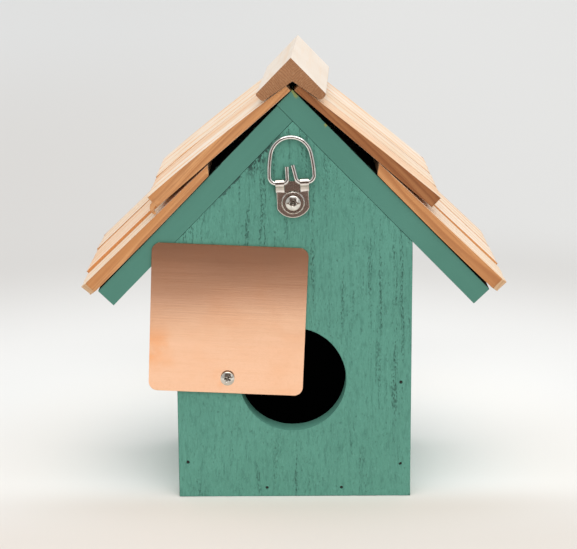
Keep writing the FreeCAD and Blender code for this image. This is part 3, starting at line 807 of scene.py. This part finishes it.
def floor_material():
    """Painted light: warm white near the object fading to light grey far off, lighter on the right,
    lighter at the object's sides to cancel its shadow, and painted shade in front of it.
    """
    warm, white = (0.725, 0.665, 0.605), (0.735, 0.733, 0.722)
    grey, pale, right_light = (0.552, 0.540, 0.524), (0.580, 0.582, 0.578), (0.615, 0.615, 0.607)
    bright, front_shade = (0.925, 0.92, 0.90), (0.690, 0.645, 0.600)

    t = Tree("studio_floor")
    x, y = t.part(t.place, 0), t.part(t.place, 1)
    far = t.vector("LENGTH", t.place)
    texture = t.noise(t.stretch(t.place, (300, 300, 300)), 3)
    # warm near the object, grey farther, pale towards the horizon: a painted fall-off of the light
    colour = t.mix(t.between(far, 0.07, 0.20), warm, white)
    colour = t.mix(t.between(far, 0.22, 0.48), colour, grey)
    colour = t.mix(t.between(far, 0.6, 2.2), colour, pale)
    # lighter to the right: painted light
    right = t.math("MULTIPLY", t.between(far, 0.35, 0.6), t.between(x, -0.35, 0.30))
    colour = t.mix(t.math("MULTIPLY", right, 0.9), colour, right_light)
    # lighter at the object's sides: painted light that cancels its shadow on the floor
    shadow_fill = t.math("MULTIPLY", t.between(t.math("ABSOLUTE", x), 0.19, 0.06), t.between(y, -0.06, -0.02))
    shadow_fill = t.math("MULTIPLY", shadow_fill, t.between(y, 0.22, 0.08))
    colour = t.mix(shadow_fill, colour, bright)
    # darker and warmer just in front of the object: painted shade
    before = t.math("MULTIPLY", t.between(y, -0.03, -0.10), t.between(y, -0.24, -0.14))
    before = t.math("MULTIPLY", before, t.between(far, 0.5, 0.2))
    colour = t.mix(before, colour, front_shade)
    colour = t.mix(t.math("MULTIPLY", texture, 0.02), colour, (0.6, 0.6, 0.6))
    return t.finish(colour, 0.85, t.bump(texture, 0.02 * MM), Specular_IOR_Level=0.1)


def floor_disc():
    """A pale studio floor, 18 m across."""
    bm = bmesh.new()
    bmesh.ops.create_circle(bm, cap_ends=True, segments=128, radius=9.0)
    floor = new_object(bm, "studio_floor", [floor_material()])


def card_material(name, near_colour, far_colour, start, end):
    """Matt card, near_colour at y = start and far_colour from y = end on, farther from the object."""
    t = Tree(name)
    fade = t.noise(t.stretch(t.place, (3, 3, 3)), 2)
    colour = t.mix(t.between(t.part(t.place, 1), end, start), far_colour, near_colour)
    colour = t.mix(t.math("MULTIPLY", fade, 0.15), colour, near_colour)
    return t.finish(colour, 0.9, t.bump(fade, 0.1 * MM))


def metal_cards():
    """A white card on the floor before the wall side, and beyond it a dark one that curves up.

    Only reflections show them, which gives the metal its shading.
    """
    white_start, dark_start, half_width = -0.13, -0.397, 0.75
    lift = 0.001                                # just clear of the floor
    run = [(white_start, lift), (dark_start, lift), (-0.9, lift), (-1.25, 0.12), (-1.45, 0.5), (-1.5, 1.1)]
    white = card_material("white_card", (0.83, 0.82, 0.80), (0.86, 0.845, 0.825), white_start, -0.22)
    dark = card_material("dark_card", (0.26, 0.125, 0.075), (0.090, 0.050, 0.036), -0.395, -0.50)
    bm = bmesh.new()
    rows = [[bm.verts.new((x, y, z)) for x in (-half_width, half_width)] for y, z in run]
    for number, (a, b) in enumerate(zip(rows, rows[1:])):
        face = bm.faces.new((a[0], a[1], b[1], b[0]))
        face.material_index = min(number, 1)
    cards = new_object(bm, "metal_cards", [white, dark])
    cards.visible_camera = False
    cards.visible_diffuse = False
    cards.visible_shadow = False
    cards.visible_transmission = False


def sun(name, strength, angle, direction, colour=(1, 1, 1)):
    """A distant soft light. angle is its apparent size in degrees."""
    data = bpy.data.lights.new(name, "SUN")
    data.energy = strength
    data.angle = math.radians(angle)
    data.color = colour
    lamp = bpy.data.objects.new(name, data)
    bpy.context.scene.collection.objects.link(lamp)
    lamp.rotation_mode = "QUATERNION"
    lamp.rotation_quaternion = Vector(direction).to_track_quat("-Z", "Y")


def studio_world():
    """Even light from all round. The backdrop that the camera sees has a tone of its own."""
    light_colour, light_strength = (0.97, 0.985, 1.0, 1), 0.66
    backdrop_colour = (0.775, 0.775, 0.77, 1)
    world = bpy.data.worlds.new("studio")
    bpy.context.scene.world = world
    world.use_nodes = True
    nodes, links = world.node_tree.nodes, world.node_tree.links
    lit, seen = nodes["Background"], nodes.new("ShaderNodeBackground")
    lit.inputs["Color"].default_value = light_colour
    lit.inputs["Strength"].default_value = light_strength
    seen.inputs["Color"].default_value = backdrop_colour
    rays, either = nodes.new("ShaderNodeLightPath"), nodes.new("ShaderNodeMixShader")
    links.new(rays.outputs["Is Camera Ray"], either.inputs[0])
    links.new(lit.outputs[0], either.inputs[1])
    links.new(seen.outputs[0], either.inputs[2])
    links.new(either.outputs[0], nodes["World Output"].inputs["Surface"])


def lights():
    sun("overhead_softbox", 1.95, 70, (-0.08, 0.30, -1.0), (1.0, 0.985, 0.965))
    sun("front_softbox", 0.55, 60, (-0.15, 1.0, -0.35))
    studio_world()


def camera():
    """Looks at the wall side from a little above."""
    yaw, pitch, roll = math.radians(-0.255), math.radians(13.486), math.radians(-0.371)
    eye_place = Vector((1.14, -795.1, 284.3)) * MM
    forward = Vector((math.sin(yaw) * math.cos(pitch), math.cos(yaw) * math.cos(pitch), -math.sin(pitch)))
    level = Vector((math.cos(yaw), -math.sin(yaw), 0))
    upright = level.cross(forward)
    right = level * math.cos(roll) + upright * math.sin(roll)
    up = upright * math.cos(roll) - level * math.sin(roll)
    data = bpy.data.cameras.new("camera")
    data.lens = 109.57
    data.sensor_width = 36
    data.clip_start = 0.05
    data.clip_end = 60
    eye = bpy.data.objects.new("camera", data)
    bpy.context.scene.collection.objects.link(eye)
    place = Matrix((right, up, -forward)).transposed().to_4x4()
    place.translation = eye_place
    eye.matrix_world = place
    bpy.context.scene.camera = eye


camera()
lights()
floor_disc()
metal_cards()
painted_boards()
all_shingles()
ridge_cap()
cover()
metalwork()
bpy.context.scene.view_settings.view_transform = "Standard"
